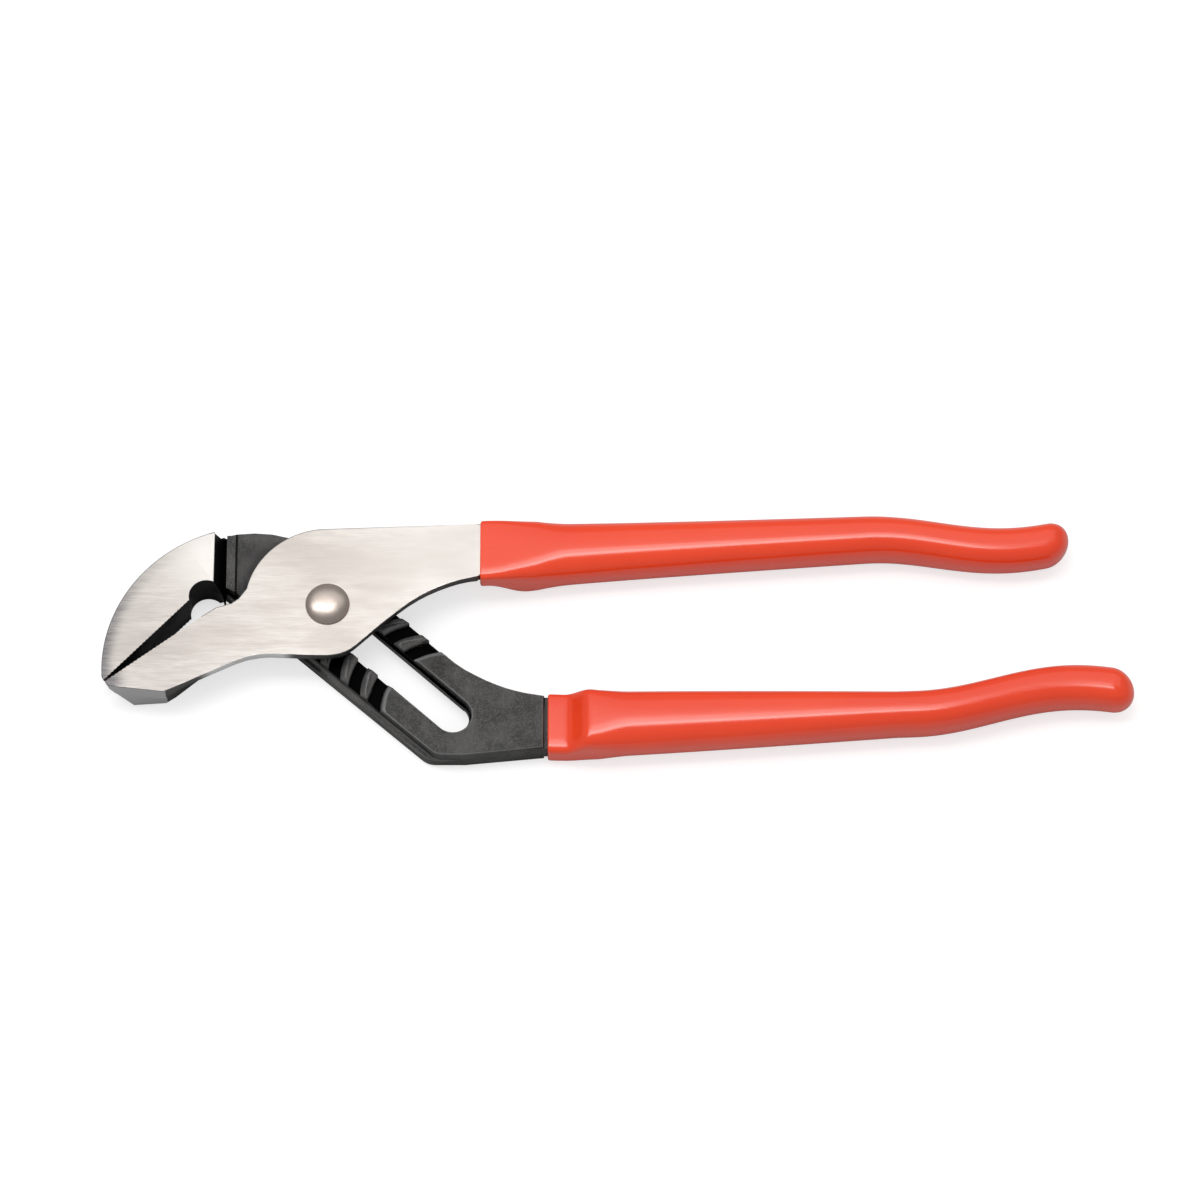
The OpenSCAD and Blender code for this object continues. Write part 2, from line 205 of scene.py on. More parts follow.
@dataclass
class Sketch:
    """A node tree being filled in."""

    tree: Tree

    def add(self, kind: str, **settings: object) -> Node:
        """Adds a node.

        Args:
            kind: the node's type.
            settings: its properties, and in_NAME for the own values of its sockets.

        Returns:
            The new node.
        """
        node = self.tree.nodes.new(kind)
        for key, value in settings.items():
            if key.startswith("in_"):
                node.inputs[key[3:].replace("_", " ")].default_value = value
            else:
                setattr(node, key, value)
        return node

    def group(self, tree: Tree, **values: float) -> Outputs:
        """Places a node group.

        Args:
            tree: the group's tree.
            values: the values of its inputs, by name.

        Returns:
            Its outputs, by name.
        """
        node = self.add("ShaderNodeGroup", node_tree=tree)
        for key, value in values.items():
            node.inputs[key].default_value = value
        return node.outputs

    def join(self, out: Socket, into: Socket) -> None:
        """Links an output to an input."""
        self.tree.links.new(out, into)

    def feed(self, value: Feed, socket: Socket) -> None:
        """Links an output to an input, or sets a number there.

        Args:
            value: the output, or the number.
            socket: the input.
        """
        if isinstance(value, bpy.types.NodeSocket):
            self.join(value, socket)
        else:
            socket.default_value = value

    def calc(self, what: str, *values: Feed) -> Socket:
        """An unclamped math node.

        Args:
            what: the operation.
            values: the sockets or numbers that it works on.

        Returns:
            Its output.
        """
        node = self.add("ShaderNodeMath", operation=what)
        for socket, value in zip(node.inputs, values):
            self.feed(value, socket)
        return node.outputs[0]

    def times(self, a: Feed, b: Feed) -> Socket:
        """The product of two values."""
        return self.calc("MULTIPLY", a, b)

    def plus(self, a: Feed, b: Feed) -> Socket:
        """The sum of two values."""
        return self.calc("ADD", a, b)

    def swing(self, start: float, reach: float, value: Socket) -> Socket:
        """Start plus reach times a value."""
        return self.plus(start, self.times(value, reach))

    def ramp(self, value: Socket, span: Span, to: Span = (0.0, 1.0)) -> Socket:
        """Maps a value smoothly from one range to another, flat outside.

        Args:
            value: what is mapped.
            span: the two values that give the two ends of the other range.
            to: the results at these values.

        Returns:
            The mapped value.
        """
        node = self.add("ShaderNodeMapRange", interpolation_type="SMOOTHSTEP",
                        in_From_Min=span[0], in_From_Max=span[1],
                        in_To_Min=to[0], in_To_Max=to[1])
        self.join(value, node.inputs["Value"])
        return node.outputs["Result"]

    def blend(self, share: Feed, a: Paint, b: Paint) -> Socket:
        """Mixes two colours.

        Args:
            share: how much of the second colour there is, from 0 to 1.
            a: the first colour, as a socket or as numbers.
            b: the second.

        Returns:
            The mixed colour.
        """
        node = self.add("ShaderNodeMix", data_type="RGBA")
        self.feed(share, node.inputs[MIX_SHARE])
        for number, colour in ((MIX_A, a), (MIX_B, b)):
            is_socket = isinstance(colour, bpy.types.NodeSocket)
            self.feed(colour if is_socket else (*colour, 1.0), node.inputs[number])
        return node.outputs[MIX_RESULT]

    def split(self, vector: Socket) -> Outputs:
        """Takes a vector apart.

        Args:
            vector: the vector's socket.

        Returns:
            The outputs X, Y and Z, by name.
        """
        node = self.add("ShaderNodeSeparateXYZ")
        self.join(vector, node.inputs[0])
        return node.outputs

    def noise(self, where: Socket, kind: Noise) -> Socket:
        """Fractal noise on a stretched, turned copy of the coordinates.

        Args:
            where: the coordinates.
            kind: the noise's scale, stretch, detail and turn.

        Returns:
            The noise, mostly between 0.3 and 0.7.
        """
        mapping = self.add("ShaderNodeMapping", in_Scale=kind.stretch,
                           in_Rotation=(0, 0, kind.turn))
        self.join(where, mapping.inputs["Vector"])
        node = self.add("ShaderNodeTexNoise", in_Scale=kind.scale, in_Detail=kind.detail,
                        in_Roughness=NOISE_ROUGHNESS)
        self.join(mapping.outputs[0], node.inputs["Vector"])
        return node.outputs["Fac"]


def new_group(name: str, inputs: dict[str, float],
              outputs: tuple[str, ...]) -> tuple[Tree, Sketch, Outputs, Inputs]:
    """Starts a shader node group of float sockets.

    Args:
        name: the group's name.
        inputs: its inputs, with their own values.
        outputs: its outputs.

    Returns:
        The tree, its sketch, the sockets that give the inputs and those that take the outputs.
    """
    tree = bpy.data.node_groups.new(name, "ShaderNodeTree")
    for key, value in inputs.items():
        socket = tree.interface.new_socket(key, in_out="INPUT", socket_type="NodeSocketFloat")
        socket.default_value = value
    for key in outputs:
        tree.interface.new_socket(key, in_out="OUTPUT", socket_type="NodeSocketFloat")
    sketch = Sketch(tree)
    given, gives = sketch.add("NodeGroupInput"), sketch.add("NodeGroupOutput")
    return tree, sketch, given.outputs, gives.inputs


@dataclass(frozen=True)
class BrushedGrain:
    """Fine scratches along X in two sizes, with broad soft clouds.

    Attributes:
        fine, coarse, cloud: the three noises.
        fine_share, coarse_share: each size's part of the height.
        tone_span, cloud_span: the ranges of height and cloud that the tone and the clouds show.
    """

    fine: Noise = Noise(900, (0.30, 5.5, 1.0), 3, 0.02)
    coarse: Noise = Noise(300, (0.30, 3.4, 1.0), 4, -0.03)
    cloud: Noise = Noise(60, (0.55, 2.0, 1.0), 3, 0.08)
    fine_share: float = 0.6
    coarse_share: float = 0.4
    tone_span: Span = (0.35, 0.65)
    cloud_span: Span = (0.38, 0.68)

    def build(self) -> Tree:
        """Makes the group.

        Returns:
            A group with inputs Fine and Cloud, and outputs Height, Tone and Cloud.
        """
        tree, s, given, gives = new_group(
            "brushed_grain", {"Fine": 1.0, "Cloud": 1.0}, ("Height", "Tone", "Cloud"))
        where = s.add("ShaderNodeTexCoord").outputs["Object"]
        fine, coarse = s.noise(where, self.fine), s.noise(where, self.coarse)
        height = s.plus(s.times(fine, self.fine_share), s.times(coarse, self.coarse_share))
        cloud = s.ramp(s.noise(where, self.cloud), self.cloud_span)
        s.join(s.times(height, given["Fine"]), gives["Height"])
        s.join(s.ramp(height, self.tone_span), gives["Tone"])
        s.join(s.times(cloud, given["Cloud"]), gives["Cloud"])
        return tree


@dataclass(frozen=True)
class ForgedSkin:
    """The shallow pitted skin that forging scale leaves, in two sizes, with broad patches.

    Attributes:
        grit, dents, patch: the three noises.
        grit_share, dents_share: each size's part of the height.
        tone_span, patch_span: the ranges of grit and patch that the tone and the patches show.
    """

    grit: Noise = Noise(2600, detail=4)
    dents: Noise = Noise(900, detail=2)
    patch: Noise = Noise(130, detail=4)
    grit_share: float = 0.9
    dents_share: float = 0.9
    tone_span: Span = (0.42, 0.68)
    patch_span: Span = (0.40, 0.66)

    def build(self) -> Tree:
        """Makes the group.

        Returns:
            A group with input Pits, and outputs Height, Tone and Patch.
        """
        tree, s, given, gives = new_group(
            "forged_skin", {"Pits": 1.0}, ("Height", "Tone", "Patch"))
        where = s.add("ShaderNodeTexCoord").outputs["Object"]
        grit, dents = s.noise(where, self.grit), s.noise(where, self.dents)
        height = s.plus(s.times(grit, self.grit_share), s.times(dents, self.dents_share))
        s.join(s.times(height, given["Pits"]), gives["Height"])
        s.join(s.ramp(grit, self.tone_span), gives["Tone"])
        s.join(s.ramp(s.noise(where, self.patch), self.patch_span), gives["Patch"])
        return tree


@dataclass(frozen=True)
class FaceMask:
    """Where a surface faces up above a level, and where an edge leans beside such a face.

    Attributes:
        flat: the range of the normal's Z over which a surface becomes the face.
        rim_low: the range over which a leaning edge begins.
        rim_high: the range over which it ends.
    """

    flat: Span = (0.75, 0.97)
    rim_low: Span = (0.10, 0.50)
    rim_high: Span = (0.86, 0.99)

    def build(self) -> Tree:
        """Makes the group.

        Returns:
            A group with input Level, and outputs Face and Rim.
        """
        tree, s, given, gives = new_group("face_mask", {"Level": 0.0}, ("Face", "Rim"))
        where = s.add("ShaderNodeTexCoord")
        height = s.split(where.outputs["Object"])["Z"]
        up = s.split(where.outputs["Normal"])["Z"]
        high = s.calc("GREATER_THAN", height, given["Level"])
        s.join(s.times(high, s.ramp(up, self.flat)), gives["Face"])
        below = s.calc("SUBTRACT", 1.0, s.ramp(up, self.rim_high))
        s.join(s.times(s.ramp(up, self.rim_low), below), gives["Rim"])
        return tree


@dataclass(frozen=True)
class EffectGroups:
    """The node groups that the finishes share."""

    grain: Tree
    skin: Tree
    face: Tree

    @classmethod
    def build(cls) -> EffectGroups:
        """Makes each group once."""
        return cls(BrushedGrain().build(), ForgedSkin().build(), FaceMask().build())


def new_finish(name: str) -> tuple[Material, Sketch, Node]:
    """Starts a material with a Principled shader joined to its output.

    Args:
        name: the material's name.

    Returns:
        The material, its sketch and the shader.
    """
    material = bpy.data.materials.new(name)
    material.use_nodes = True
    material.node_tree.nodes.clear()
    s = Sketch(material.node_tree)
    shader = s.add("ShaderNodeBsdfPrincipled")
    s.join(shader.outputs[0], s.add("ShaderNodeOutputMaterial").inputs[0])
    return material, s, shader


@dataclass(frozen=True)
class Relief:
    """How a height shows in the normal: the Bump node's strength, and its depth in metres."""

    strength: float
    depth: float

    def join(self, s: Sketch, height: Socket, shader: Node) -> None:
        """Joins a height to the shader's normal.

        Args:
            s: the material's sketch.
            height: the height.
            shader: the shader that takes the normal.
        """
        node = s.add("ShaderNodeBump", in_Strength=self.strength, in_Distance=self.depth)
        s.join(height, node.inputs["Height"])
        s.join(node.outputs[0], shader.inputs["Normal"])


@dataclass(frozen=True)
class Patch:
    """A part of a forging with a colour of its own, or painted dark as shade, found by where it
    lies and how it faces.

    Attributes:
        colour: its colour.
        share: how much of the colour shows.
        x, y, z: the ranges of the object coordinates that it covers.
        face_y, face_z: the ranges of the normal's Y and Z.
        matt: how much more metallic it is, which takes the gloss off a black surface.
        soft_x: the length over which it fades at both ends in X, 0 for sharp ends.
    """

    colour: Triple
    share: float = 1.0
    x: Span = (-FREE, FREE)
    y: Span = (-FREE, FREE)
    z: Span = (-FREE, FREE)
    face_y: Span = (-FREE, FREE)
    face_z: Span = (-FREE, FREE)
    matt: float = 0.0
    soft_x: float = 0.0

    def mask(self, s: Sketch) -> Feed:
        """The patch's share inside every stated range, and 0 elsewhere.

        Args:
            s: the material's sketch.

        Returns:
            The mask.
        """
        where = s.add("ShaderNodeTexCoord")
        spot, way = s.split(where.outputs["Object"]), s.split(where.outputs["Normal"])
        total: Feed = self.share
        sharp_x = self.x
        if self.soft_x:
            half = self.soft_x / 2
            sharp_x = (-FREE, FREE)
            for end, to in zip(self.x, ((0.0, 1.0), (1.0, 0.0))):
                total = s.times(total, s.ramp(spot["X"], (end - half, end + half), to))
        for value, (low, high) in (
            (spot["X"], sharp_x), (spot["Y"], self.y), (spot["Z"], self.z),
            (way["Y"], self.face_y), (way["Z"], self.face_z),
        ):
            if low > -FREE:
                total = s.times(total, s.calc("GREATER_THAN", value, low))
            if high < FREE:
                total = s.times(total, s.calc("LESS_THAN", value, high))
        return total


@dataclass(frozen=True)
class FaceTint:
    """A colour painted on the ground face round a spot: a painted shade, a painted highlight, or a
    darkening at a jaw's tip.

    Attributes:
        spot: the spot's X and Y.
        radii: the distances from the spot at which the tint begins and is full.
        fade_y: the range of Y, counted from the spot, over which it fades out.
        share: how much of the colour shows at most.
        colour: its colour.
        grain: how much of it the grain breaks up.
        power: how steeply it deepens between the radii.
    """

    spot: Span
    radii: Span
    fade_y: Span = (FREE, 2 * FREE)
    share: float = 1.0
    colour: Triple = (0.14, 0.135, 0.145)
    grain: float = 0.38
    power: float = 1.6

    def mask(self, s: Sketch, tone: Socket) -> Socket:
        """The tint's share at each point.

        Args:
            s: the material's sketch.
            tone: the grain's tone, from 0 to 1.

        Returns:
            The mask.
        """
        away = s.add("ShaderNodeVectorMath", operation="SUBTRACT")
        away.inputs[1].default_value = (*self.spot, 0.0)
        s.join(s.add("ShaderNodeTexCoord").outputs["Object"], away.inputs[0])
        part = s.split(away.outputs[0])
        squares = s.plus(s.calc("POWER", part["X"], 2.0), s.calc("POWER", part["Y"], 2.0))
        # Painted shade or painted highlight, strongest between the radii
        tint = s.calc("POWER", s.ramp(s.calc("SQRT", squares), self.radii), self.power)
        tint = s.times(tint, s.ramp(part["Y"], self.fade_y, (1.0, 0.0)))
        broken = s.swing((1 - self.grain) * self.share, self.grain * self.share, tone)
        return s.times(tint, broken)


@dataclass(frozen=True)
class GroundSteel:
    """A forging in dark oxide whose top face is ground to a satin.

    Attributes:
        name: the material's name.
        patches: parts of the forging with a colour of their own, or painted dark as shade.
        tints: painted shade and painted highlights on the ground face, and the darkening at each
            jaw's tip.
        face_level: the height above which a level surface is ground.
        satin, streak: the ground face's colour, and that of its streaks and clouds.
        oxide, rubbed, edge_metal: the skin's colour, and where it is rubbed and worn through.
        streak_share, cloud_share: how much the grain's tone and its clouds show.
        patch_share, tone_share, rim_share: how much the skin's patches, tone and worn rims show.
        face_metal, skin_metal: metallic, of the face and of the skin.
        face_rough, skin_rough: roughness, each from its first value up by its second.
        grain_height: the scratches' height beside the skin's.
        relief: how the heights show.
    """

    name: str
    patches: tuple[Patch, ...]
    tints: tuple[FaceTint, ...]
    face_level: float = 11.65 * MM
    satin: Triple = (0.73, 0.688, 0.648)
    streak: Triple = (0.50, 0.450, 0.408)
    oxide: Triple = (0.028, 0.027, 0.026)
    rubbed: Triple = (0.140, 0.137, 0.132)
    edge_metal: Triple = (0.28, 0.27, 0.27)
    streak_share: float = 0.42
    cloud_share: float = 0.60
    patch_share: float = 0.50
    tone_share: float = 0.45
    rim_share: float = 0.42
    face_metal: float = 0.95
    skin_metal: float = 0.50
    face_rough: Span = (0.34, 0.10)
    skin_rough: Span = (0.42, 0.12)
    grain_height: float = 0.25
    relief: Relief = Relief(0.5, 0.06 * MM)

    def ground_colour(self, s: Sketch, grain: Outputs) -> Socket:
        """The satin with its streaks and clouds, its painted shade and painted highlights, and its
        darkened tips.

        Args:
            s: the material's sketch.
            grain: the grain group's outputs.

        Returns:
            The colour.
        """
        streaks = s.times(grain["Tone"], self.streak_share)
        colour = s.blend(streaks, self.satin, self.streak)
        colour = s.blend(s.times(grain["Cloud"], self.cloud_share), colour, self.streak)
        # Painted shade and painted highlights over the satin, then the darkening at the tips
        for tint in self.tints:
            colour = s.blend(tint.mask(s, grain["Tone"]), colour, tint.colour)
        return colour

    def forged_colour(self, s: Sketch, skin: Outputs, rim: Socket) -> Socket:
        """The oxide with its rubbed patches and worn rims.

        Args:
            s: the material's sketch.
            skin: the skin group's outputs.
            rim: where edges lean beside the face.

        Returns:
            The colour.
        """
        colour = s.blend(s.times(skin["Patch"], self.patch_share), self.oxide, self.rubbed)
        colour = s.blend(s.times(skin["Tone"], self.tone_share), colour, self.rubbed)
        return s.blend(s.times(rim, self.rim_share), colour, self.edge_metal)

    def make(self, groups: EffectGroups) -> Material:
        """Builds the material: satin on the face, oxide elsewhere, patches over the oxide.

        Args:
            groups: the shared node groups.

        Returns:
            The material.
        """
        material, s, shader = new_finish(self.name)
        grain = s.group(groups.grain, Fine=1.0, Cloud=1.0)
        skin = s.group(groups.skin, Pits=1.0)
        masks = s.group(groups.face, Level=self.face_level)
        face = masks["Face"]

        dark = self.forged_colour(s, skin, masks["Rim"])
        metal = s.swing(self.skin_metal, self.face_metal - self.skin_metal, face)
        for patch in self.patches:
            covered = patch.mask(s)
            dark = s.blend(covered, dark, patch.colour)
            if patch.matt:
                metal = s.plus(metal, s.times(covered, patch.matt))
        bright = self.ground_colour(s, grain)
        s.join(s.blend(face, dark, bright), shader.inputs["Base Color"])
        s.join(s.calc("MINIMUM", metal, 1.0), shader.inputs["Metallic"])

        ground_rough = s.swing(*self.face_rough, grain["Tone"])
        forged_rough = s.swing(*self.skin_rough, skin["Patch"])
        gap = s.calc("SUBTRACT", ground_rough, forged_rough)
        s.join(s.plus(forged_rough, s.times(gap, face)), shader.inputs["Roughness"])

        scratches = s.times(grain["Height"], s.times(face, self.grain_height))
        pits = s.times(skin["Height"], s.calc("SUBTRACT", 1.0, face))
        self.relief.join(s, s.plus(scratches, pits), shader)
        return material


# The nose under the front arm's tip, and the bright band under its belly
FRONT_PATCHES = (
    Patch(grey(0.50), x=(-FREE, -0.0395), face_y=(-FREE, -0.7)),
    Patch((0.95, 0.94, 0.93), x=(-0.0300, -0.0095), z=(0.0073, FREE), face_y=(-FREE, -0.2),
          soft_x=0.004),
)
# The groove floors, painted black as the shade deep in the grooves; the worn rims of the lands;
# the channel behind the jaw and the line beside it, painted black as shadow; and the side of the
# jaw that bites
REAR_PATCHES = (
    # Painted shade: the floors of the grooves and of the slot's step, near black
    Patch(grey(0.002), z=(0.0045, 0.0060), face_z=(0.5, FREE), matt=0.5),
    Patch((0.27, 0.27, 0.275), share=0.8, z=(0.0061, 0.00712), face_z=(0.78, 0.93)),
    # Painted shadow: the channel behind the jaw, near black
    Patch(grey(0.004), share=0.95, x=(-0.0290, -0.0254), y=(0.0030, FREE),
          face_z=(-0.5, 0.97), matt=0.45),
    # Painted shadow: a thin dark line beside the channel
    Patch(grey(0.004), share=0.9, x=(-0.0233, -0.0227), y=(0.0050, FREE), z=(0.0065, 0.0080),
          matt=0.45),
    Patch(grey(0.008), share=0.9, x=(-FREE, -0.0225), y=(-0.0204, 0.0080),
          face_y=(-FREE, -0.35), matt=0.35),
)
# A painted shade on both ground faces, a painted highlight on each, and a darkening round each
# jaw's tip
# Painted shade: the satin darkens towards the jaws' tips
PAINTED_SHADE = FaceTint((-0.0600, -0.0150), (0.0780, 0.0020), colour=(0.44, 0.41, 0.385))
# Painted highlight: the front arm's satin lighter towards the handles
FRONT_PAINTED_HIGHLIGHT = FaceTint((0.0400, 0.0160), (0.0550, 0.0100), share=0.35, colour=(0.98, 0.94, 0.90))
# Painted highlight: the rear arm's satin lighter over its jaw
REAR_PAINTED_HIGHLIGHT = FaceTint((-0.0290, 0.0140), (0.0200, 0.0020), share=0.8, colour=(0.82, 0.79, 0.76))
# Darker round the front jaw's tip
FRONT_TIP = FaceTint((-0.0547, -0.0206), (0.0075, 0.0020))
# Darker at the rear jaw's tip, fading out across the jaw
REAR_TIP = FaceTint((-0.01766, -0.0164), (0.0332, 0.0372), fade_y=(0.006, 0.037))


@dataclass(frozen=True)
class DippedVinyl:
    """Thick glossy vinyl, dipped over the handle.

    Attributes:
        name: the material's name.
        colour, deep: the vinyl's colour, and that of its slight runs.
        runs, peel: the runs' noise, and that of the surface's fine unevenness.
        runs_span: the range of the first over which the colour deepens.
        rough: roughness, from its first value up by its second.
        specular: the gloss of the vinyl itself.
        coat, coat_rough, coat_ior: the weight, roughness and index of the clear skin over it.
        relief: how the unevenness shows.
    """

    name: str = "dipped_vinyl"
    colour: Triple = (0.95, 0.062, 0.010)
    deep: Triple = (0.90, 0.050, 0.008)
    runs: Noise = Noise(45, (0.4, 1.2, 1.2), 3)
    peel: Noise = Noise(420, (0.7, 1.0, 1.0), 2)
    runs_span: Span = (0.35, 0.70)
    rough: Span = (0.26, 0.08)
    specular: float = 0.2
    coat: float = 0.9
    coat_rough: float = 0.16
    coat_ior: float = 1.70
    relief: Relief = Relief(0.12, 0.05 * MM)

    def make(self) -> Material:
        """Builds the material: an even red with slight runs, under a soft gloss.

        Returns:
            The material.
        """
        material, s, shader = new_finish(self.name)
        where = s.add("ShaderNodeTexCoord").outputs["Object"]
        runs = s.ramp(s.noise(where, self.runs), self.runs_span)
        peel = s.noise(where, self.peel)
        s.join(s.blend(runs, self.colour, self.deep), shader.inputs["Base Color"])
        s.join(s.swing(*self.rough, peel), shader.inputs["Roughness"])
        shader.inputs["Specular IOR Level"].default_value = self.specular
        shader.inputs["Coat Weight"].default_value = self.coat
        shader.inputs["Coat Roughness"].default_value = self.coat_rough
        shader.inputs["Coat IOR"].default_value = self.coat_ior
        self.relief.join(s, peel, shader)
        return material


@dataclass(frozen=True)
class NickelSatin:
    """Warm grey nickel with a tumbled, faintly pitted skin.

    Attributes:
        name: the material's name.
        colour, stain: the metal's colour, and that of its stains.
        pits: the height of its pits beside the forged skin's.
        stain_share: how much the stains show.
        rough: roughness, from its first value up by its second.
        relief: how the pits show.
    """

    name: str = "nickel_satin"
    colour: Triple = (0.76, 0.655, 0.585)
    stain: Triple = (0.56, 0.48, 0.43)
    pits: float = 0.6
    stain_share: float = 0.6
    rough: Span = (0.33, 0.08)
    relief: Relief = Relief(0.12, 0.04 * MM)

    def make(self, groups: EffectGroups) -> Material:
        """Builds the material: metal with small stains and pits.

        Args:
            groups: the shared node groups.

        Returns:
            The material.
        """
        material, s, shader = new_finish(self.name)
        skin = s.group(groups.skin, Pits=self.pits)
        stains = s.times(skin["Patch"], self.stain_share)
        s.join(s.blend(stains, self.colour, self.stain), shader.inputs["Base Color"])
        s.join(s.swing(*self.rough, skin["Tone"]), shader.inputs["Roughness"])
        shader.inputs["Metallic"].default_value = 1.0
        self.relief.join(s, skin["Height"], shader)
        return material


@dataclass
class ForgedArm:
    """One forged arm: a copy of its CAD solid with its edges rounded.

    Attributes:
        node, body, slot: the CAD node, its body, and the record's slot, which is not used.
        finish: its steel.
        draft: how far the flanks' lower edge leans in, 0 for upright flanks.
        crisp_to: how far along the tail's line the edges that cutters left crisp reach.
        face_z, face_play: the ground face's height, and how far below it its edges may lie.
        rim, flank_rim: the rounding at the ground face, and the widest, that of the flanks.
        segments: the steps of a rounding.
        least_turn: the least angle between two faces whose edge is rounded.
        upright_share: the rise, as a share of its length, of an edge that counts as upright.
        jaw_x, tooth_length: where the teeth end, and the longest edge of one.
        tail_turn, crisp_z: the turn of the tail's line, and the height of its lowest crisp edges.
        draft_z, draft_x: the height of the edge that leans, and the range of X.
        draft_play: how far from that height its points may lie.
        hub_r: the radius round the pivot that stays upright.
        wall_z: the most that the normal of a wall has of Z.
        least_out: the least length of a point's summed wall normals.
        open_y: walls whose normal has this much Y or more stay upright.
        ring_z: a band of heights whose fine faces aren't joined.
        weld, flat_turn: how near two points are that count as one, and the angle between
            two faces that count as one.
        crease: the angle past which shading breaks.
    """

    node: str
    body: Body
    slot: Slot
    finish: GroundSteel
    draft: float = 0.0
    crisp_to: float = 1.0
    face_z: float = 11.8 * MM
    face_play: float = 0.05 * MM
    rim: float = 0.3 * MM
    flank_rim: float = 0.5 * MM
    segments: int = 3
    least_turn: float = math.radians(32)
    upright_share: float = 0.9
    jaw_x: float = -22.5 * MM
    tooth_length: float = 0.9 * MM
    tail_turn: float = math.radians(42)
    crisp_z: float = 1.0 * MM
    draft_z: float = 7.3 * MM
    draft_x: Span = (-38.5 * MM, 37.6 * MM)
    draft_play: float = 0.02 * MM
    hub_r: float = 6.0 * MM
    wall_z: float = 0.2
    least_out: float = 0.1
    open_y: float = 0.35
    ring_z: Span = (4.7 * MM, 5.0 * MM)
    weld: float = 0.002 * MM
    flat_turn: float = math.radians(0.6)
    crease: float = math.radians(40)

    def machined(self, spot: Vector) -> bool:
        """True where cutters left edges crisp: at the grooves, in the slot, beside the jaw."""
        along = spot.x * math.cos(self.tail_turn) - spot.y * math.sin(self.tail_turn)
        return spot.z > self.crisp_z and along < self.crisp_to

    def edge_width(self, edge: bmesh.types.BMEdge) -> float:
        """How wide an edge is rounded, as a share of the widest rounding.

        Args:
            edge: one edge of the arm.

        Returns:
            1 on the flanks, less at the ground face, 0 on teeth, upright and crisp edges.
        """
        if len(edge.link_faces) != 2 or edge.calc_face_angle(0) < self.least_turn:
            return 0.0
        a, b = (v.co for v in edge.verts)
        length = edge.calc_length()
        upright = abs(a.z - b.z) > self.upright_share * length
        tooth = max(a.x, b.x) < self.jaw_x and length < self.tooth_length
        if upright or tooth:
            return 0.0
        if min(a.z, b.z) > self.face_z - self.face_play:
            return self.rim / self.flank_rim
        return 0.0 if self.machined((a + b) / 2) else 1.0

    def lean_in(self, shape: bmesh.types.BMesh) -> None:
        """Forging draft: the flanks' lower edge moves in, against its wall's level normal.

        Args:
            shape: the arm's mesh, changed in place.
        """
        for vert in shape.verts:
            leans = (abs(vert.co.z - self.draft_z) <= self.draft_play
                     and self.draft_x[0] < vert.co.x < self.draft_x[1]
                     and vert.co.xy.length >= self.hub_r)
            if not leans:
                continue
            out = Vector((0.0, 0.0))
            for face in vert.link_faces:
                above = face.calc_center_median().z > self.draft_z
                if above and abs(face.normal.z) < self.wall_z:
                    out += face.normal.xy
            if out.length > self.least_out and out.normalized().y < self.open_y:
                vert.co.xy -= out.normalized() * self.draft

    def in_ring(self, vert: bmesh.types.BMVert) -> bool:
        """True for a point in the band of heights that keeps its fine faces."""
        return self.ring_z[0] < vert.co.z < self.ring_z[1]

    def join_flats(self, shape: bmesh.types.BMesh) -> None:
        """Merges the CAD's loose triangles, and joins flat faces outside the band.

        Args:
            shape: the arm's mesh, changed in place.
        """
        bmesh.ops.remove_doubles(shape, verts=shape.verts, dist=self.weld)
        verts = [v for v in shape.verts if not self.in_ring(v)]
        edges = [e for e in shape.edges if not all(self.in_ring(v) for v in e.verts)]
        bmesh.ops.dissolve_limit(shape, angle_limit=self.flat_turn, verts=verts, edges=edges)

    def build(self, groups: EffectGroups) -> Piece:
        """Copies the CAD mesh, joins its flat faces, leans its flanks and rounds its edges.

        Args:
            groups: the shared node groups.

        Returns:
            The arm.
        """
        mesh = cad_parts[self.node].data.copy()
        mesh.name = self.node + "_forged"
        shape = bmesh.new()
        shape.from_mesh(mesh)
        self.join_flats(shape)
        if self.draft:
            self.lean_in(shape)
        layer = shape.edges.layers.float.new("bevel_weight_edge")
        for edge in shape.edges:
            edge[layer] = self.edge_width(edge)
        shape.to_mesh(mesh)
        shape.free()
        piece = place(mesh, self.finish.make(groups), self.body, self.node)
        bevel = piece.modifiers.new("rounded_edges", "BEVEL")
        bevel.width = self.flank_rim
        bevel.segments = self.segments
        bevel.limit_method = "WEIGHT"
        bevel.use_clamp_overlap = False
        bevel.miter_outer = "MITER_SHARP"
        bevel.harden_normals = True
        shade_smooth(mesh)
        mesh.set_sharp_from_angle(angle=self.crease)
        return piece


